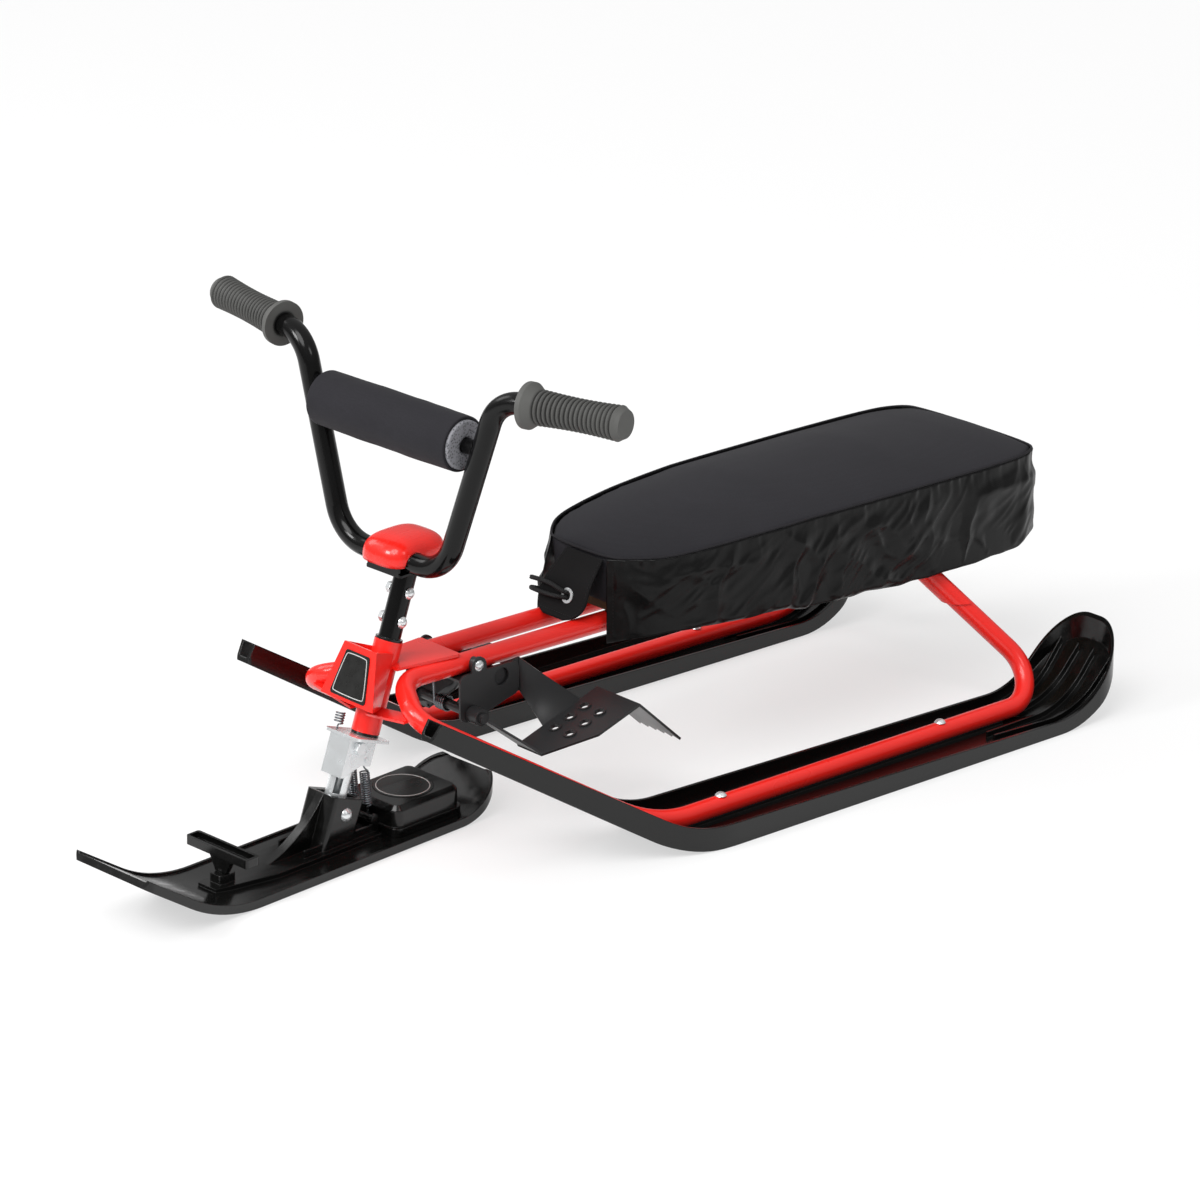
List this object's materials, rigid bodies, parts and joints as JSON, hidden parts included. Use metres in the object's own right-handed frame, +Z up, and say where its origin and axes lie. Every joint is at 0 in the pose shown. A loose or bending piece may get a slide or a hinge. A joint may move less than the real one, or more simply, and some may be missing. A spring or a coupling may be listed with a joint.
{
  "type": "steering sled",
  "caption": "Tube-framed steering sled with a padded seat, fixed rear skis, a sprung front ski turned by a handlebar, a pedal brake with claws and a tow handle.",
  "frame": {"origin": "on the ground under the middle of the overall box; the frame's mid-plane is 7.9 mm to the rider's right of it", "axes": "forward is -Y, the rider's left is +X, up is +Z"},
  "size_m": [0.5422, 1.1588, 0.5058],
  "materials": {
    "red_powder_coat": "gloss powder coat",
    "red_plastic": "gloss moulded plastic",
    "black_plastic": "gloss moulded plastic",
    "black_paint": "gloss paint",
    "grey_steel": "satin dark grey",
    "zinc_steel": "bright zinc",
    "dark_rubber": "matt",
    "charcoal_cloth": "fine weave, matt",
    "black_nylon": "thin nylon, slight sheen",
    "grey_foam": "open-cell foam, matt",
    "white_nylon": "moulded nylon",
    "badge_plastic": "bare plate with a thin light border",
    "board_ply": "raw plywood"
  },
  "bodies": {
    "frame": {"frame_tube_left": "red_powder_coat", "frame_tube_right": "red_powder_coat", "rear_ski_left": "black_plastic", "rear_ski_right": "black_plastic", "ski_screws": "zinc_steel", "head_tube": "red_powder_coat", "upper_head_bush": "black_plastic", "lower_head_bush": "black_plastic", "head_box": "red_powder_coat", "head_badge": "badge_plastic", "top_gusset": "red_powder_coat", "lower_straps": "red_powder_coat", "seat_rail_front": "red_powder_coat", "seat_rail_rear": "red_powder_coat", "seat_stay_left": "red_powder_coat", "seat_stay_right": "red_powder_coat", "seat_board": "board_ply", "seat_bolts": "zinc_steel", "seat_cushion": "charcoal_cloth", "seat_skirt": "black_nylon", "seat_flap": "charcoal_cloth", "flap_eyelet": "zinc_steel", "seat_drawstring": "black_nylon", "brake_bracket": "grey_steel", "brake_rivets": "zinc_steel"},
    "foot_brake": {"brake_shaft": "grey_steel", "brake_pedal_left": "grey_steel", "brake_pedal_right": "grey_steel", "brake_tie_rod": "grey_steel", "brake_spring": "zinc_steel"},
    "steering": {"steering_tube": "zinc_steel", "steering_column": "black_paint", "column_bolts": "zinc_steel", "column_nuts": "zinc_steel", "bar_cradle": "black_paint", "bar_cap": "red_plastic", "cap_screws": "zinc_steel", "handlebar": "black_paint", "crossbar": "black_paint", "pad_foam": "grey_foam", "pad_cover": "charcoal_cloth", "grip_left": "dark_rubber", "grip_right": "dark_rubber", "fork_bracket": "zinc_steel", "fork_leg": "zinc_steel", "fork_bolt": "zinc_steel", "fork_nut": "zinc_steel", "buffer_spring": "zinc_steel"},
    "front_ski": {"front_ski": "black_plastic", "pivot_bolt": "zinc_steel", "pivot_nut": "zinc_steel", "ski_springs": "zinc_steel", "winder_housing": "black_plastic", "winder_lid": "black_plastic", "winder_badge": "badge_plastic", "winder_axle": "zinc_steel", "winder_mainspring": "zinc_steel"},
    "winder_spool": {"winder_spool": "white_nylon"},
    "tow_handle": {"tow_handle": "black_plastic"}
  },
  "joints": [
    {"name": "steering", "type": "hinge", "parent": "frame", "child": "steering", "pos_m": [-0.0079, -0.2866, 0], "axis": [0, 0.3322, 0.9432], "range_deg": [-41.25, 28.75]},
    {"name": "ski_pitch", "type": "hinge", "parent": "steering", "child": "front_ski", "pos_m": [-0.00583, -0.29113, 0.044], "axis": [0.9941, 0.1027, -0.0362], "range_deg": [-6, 6], "stiffness_Nm_per_rad": 40, "deforming": ["ski_springs"]},
    {"name": "foot_brake", "type": "hinge", "parent": "frame", "child": "foot_brake", "pos_m": [-0.0079, -0.1486, 0.118], "axis": [-1, 0, 0], "range_deg": [0, 24], "stiffness_Nm_per_rad": 1.5, "springref_deg": -51.57, "deforming": ["brake_spring"]},
    {"name": "tow_handle", "type": "slide", "parent": "front_ski", "child": "tow_handle", "axis": [0.0362, 0.0019, 0.9993], "range_m": [0, 0.03]},
    {"name": "winder_spool", "type": "hinge", "parent": "front_ski", "child": "winder_spool", "pos_m": [-0.0173, -0.19558, 0.00017], "axis": [0.0362, 0.0019, 0.9993], "range_deg": [0, 93]}
  ],
  "couplings": [
    {"joint": "winder_spool", "follows": "tow_handle", "rad_per_m": 54.05}
  ]
}
